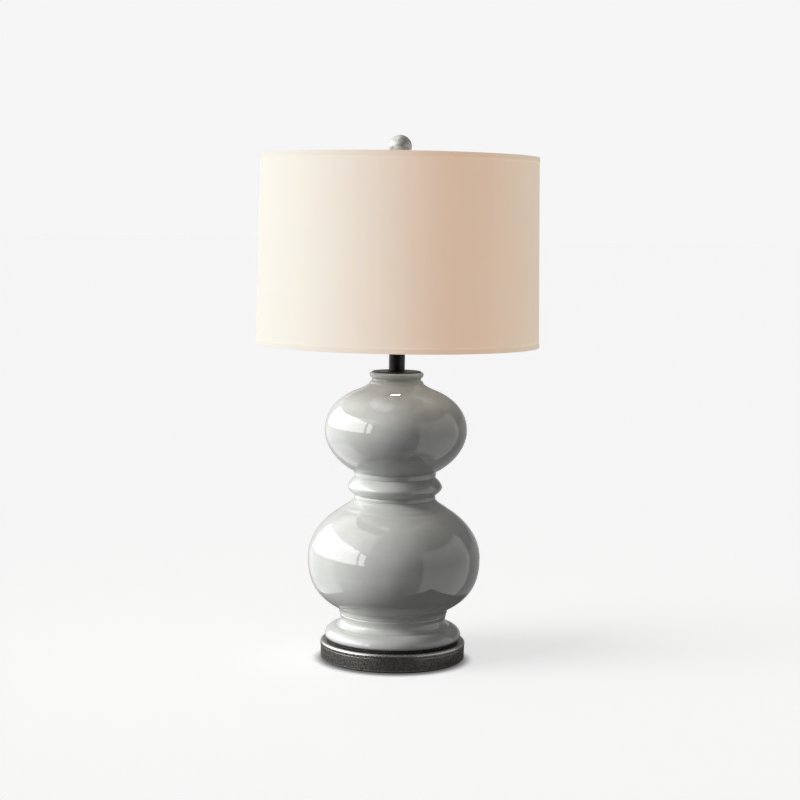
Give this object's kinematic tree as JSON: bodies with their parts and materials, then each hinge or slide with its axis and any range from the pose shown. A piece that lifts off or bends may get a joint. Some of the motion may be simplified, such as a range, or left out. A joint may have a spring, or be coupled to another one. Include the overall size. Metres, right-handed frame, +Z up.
{
  "type": "table lamp",
  "caption": "Double-gourd glazed ceramic table lamp on a round dark metal base, with a cream fabric drum shade held by a harp and a ball finial.",
  "frame": {"origin": "centre of the felt pad's underside, on the surface that the lamp stands on", "axes": "+Z up along the lamp's axis; -Y is the front with the switch knob, hidden by the shade; the cord leaves at +Y; the harp lies in the XZ plane"},
  "size_m": [0.4063, 0.4064, 0.7534],
  "materials": {
    "base_metal": "dark gunmetal bronze, satin, softly mottled",
    "black_metal": "satin black",
    "felt": "pressed felt",
    "black_plastic": "moulded, fine grain",
    "rubber": "matte",
    "steel": "zinc plated",
    "brass": "satin",
    "harp_brass": "antique",
    "glaze": "high gloss, light grey, faintly mottled",
    "marble": "polished, pale grey veins",
    "card": "pressed insulating card",
    "aluminium": "bright",
    "solder": "dull solder",
    "white_plastic": "moulded",
    "diffuser": "frosted",
    "shade_cloth": "plain weave, cream",
    "shade_tape": "folded self tape",
    "shade_lining": "smooth styrene"
  },
  "bodies": {
    "base": {"base_plate": "base_metal", "base_felt_pad": "felt", "cord_bushing": "black_plastic", "rod_bottom_nut": "brass", "rod_lock_washer": "steel", "rod_flat_washer": "steel", "threaded_rod": "steel", "foot_gasket": "rubber", "ceramic_body": "glaze", "vase_cap": "black_metal", "neck_tube": "black_metal", "neck_washer": "black_metal", "harp_saddle": "harp_brass", "saddle_nut": "brass", "harp_bow": "harp_brass", "socket_cap": "brass", "socket_shell": "brass", "socket_liner": "card", "socket_interior": "black_plastic", "socket_screw_shell": "aluminium", "socket_contact": "brass", "terminal_screws": "brass"},
    "switch": {"switch_shaft": "brass", "switch_knob": "black_plastic"},
    "ferrule_left": {"harp_ferrule_left": "harp_brass"},
    "ferrule_right": {"harp_ferrule_right": "harp_brass"},
    "bulb_thread": {"bulb_contact": "solder"},
    "bulb": {"bulb_screw_cap": "aluminium", "bulb_housing": "white_plastic", "bulb_led_board": "white_plastic", "bulb_diffuser": "diffuser"},
    "shade": {"harp_stud": "brass", "shade_spider": "steel", "shade_top_ring": "steel", "shade_bottom_ring": "steel", "shade_liner": "shade_lining", "shade_fabric": "shade_cloth", "shade_seam": "shade_cloth", "shade_top_trim": "shade_tape", "shade_bottom_trim": "shade_tape"},
    "finial_thread": {"finial_insert": "brass"},
    "finial": {"finial_ball": "marble"}
  },
  "joints": [
    {"name": "switch_turn", "type": "hinge", "parent": "base", "child": "switch", "pos_m": [0, -0.02, 0.5091], "axis": [0, -1, 0], "continuous": true},
    {"name": "ferrule_left_slide", "type": "slide", "parent": "base", "child": "ferrule_left", "axis": [0, 0, 1], "range_m": [0, 0.012]},
    {"name": "ferrule_right_slide", "type": "slide", "parent": "base", "child": "ferrule_right", "axis": [0, 0, 1], "range_m": [0, 0.012]},
    {"name": "bulb_lift", "type": "slide", "parent": "base", "child": "bulb_thread", "axis": [0, 0, 1], "range_m": [0, 0.0127]},
    {"name": "bulb_turn", "type": "hinge", "parent": "bulb_thread", "child": "bulb", "pos_m": [0, 0, 0.53], "axis": [0, 0, 1], "range_deg": [0, 1262]},
    {"name": "shade_turn", "type": "hinge", "parent": "base", "child": "shade", "pos_m": [0, 0, 0.704], "axis": [0, 0, 1], "continuous": true},
    {"name": "finial_lift", "type": "slide", "parent": "shade", "child": "finial_thread", "axis": [0, 0, 1], "range_m": [0, 0.00564]},
    {"name": "finial_turn", "type": "hinge", "parent": "finial_thread", "child": "finial", "pos_m": [0, 0, 0.737], "axis": [0, 0, 1], "range_deg": [0, 2162]}
  ],
  "couplings": [
    {"joint": "bulb_turn", "follows": "bulb_lift", "rad_per_m": 1731.6},
    {"joint": "finial_turn", "follows": "finial_lift", "rad_per_m": 6679}
  ]
}
